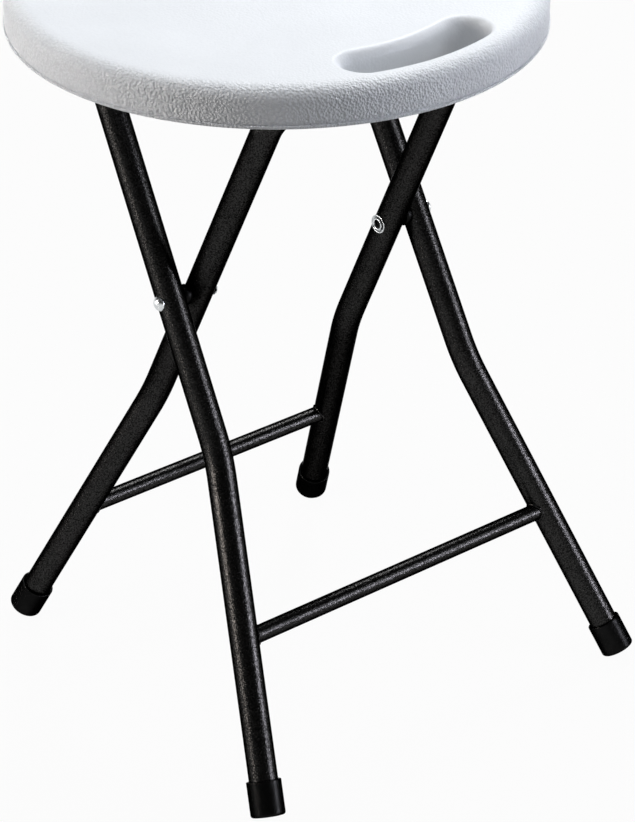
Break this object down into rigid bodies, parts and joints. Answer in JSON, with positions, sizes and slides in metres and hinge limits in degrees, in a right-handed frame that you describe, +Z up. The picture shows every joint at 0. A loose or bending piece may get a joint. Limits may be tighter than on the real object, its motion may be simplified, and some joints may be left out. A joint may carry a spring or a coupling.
{
  "type": "folding stool",
  "caption": "Folding picnic stool: round moulded seat with a hand slot on two bent tube frames that scissor shut, with capped feet.",
  "frame": {"origin": "on the floor under the middle of the stool's box, about 8 mm from under the seat's centre", "axes": "+Z up, X along the pivot axis, -Y towards the hand slot and the outer frame's feet"},
  "size_m": [0.324, 0.3396, 0.45],
  "materials": {
    "seat_plastic": "white blow-moulded plastic with a fine leather grain",
    "black_powder_coat": "black textured satin powder coat",
    "black_plastic": "black moulded plastic, low sheen",
    "zinc_steel": "bright zinc plate"
  },
  "bodies": {
    "outer_frame": {"outer_leg_frame": "black_powder_coat", "outer_crossbar": "black_powder_coat", "left_outer_foot_cap": "black_plastic", "right_outer_foot_cap": "black_plastic", "left_pivot_rivet": "zinc_steel", "right_pivot_rivet": "zinc_steel", "left_pivot_washer": "zinc_steel", "right_pivot_washer": "zinc_steel", "left_pivot_spacer": "black_plastic", "right_pivot_spacer": "black_plastic"},
    "inner_frame": {"inner_leg_frame": "black_powder_coat", "inner_crossbar": "black_powder_coat", "left_inner_foot_cap": "black_plastic", "right_inner_foot_cap": "black_plastic"},
    "seat_panel": {"seat": "seat_plastic", "left_hinge_clamp": "black_plastic", "right_hinge_clamp": "black_plastic", "left_latch_hook": "black_plastic", "right_latch_hook": "black_plastic", "hinge_clamp_screws": "zinc_steel", "latch_hook_screws": "zinc_steel"}
  },
  "joints": [
    {"name": "fold", "type": "hinge", "parent": "outer_frame", "child": "inner_frame", "pos_m": [0, -0.00996, 0.275], "axis": [-1, 0, 0], "range_deg": [0, 46.5]},
    {"name": "seat_tilt", "type": "hinge", "parent": "outer_frame", "child": "seat_panel", "pos_m": [0, 0.06914, 0.4167], "axis": [-1, 0, 0], "range_deg": [0, 107]}
  ],
  "couplings": [
    {"joint": "seat_tilt", "follows": "fold", "ratio": 2.3}
  ]
}
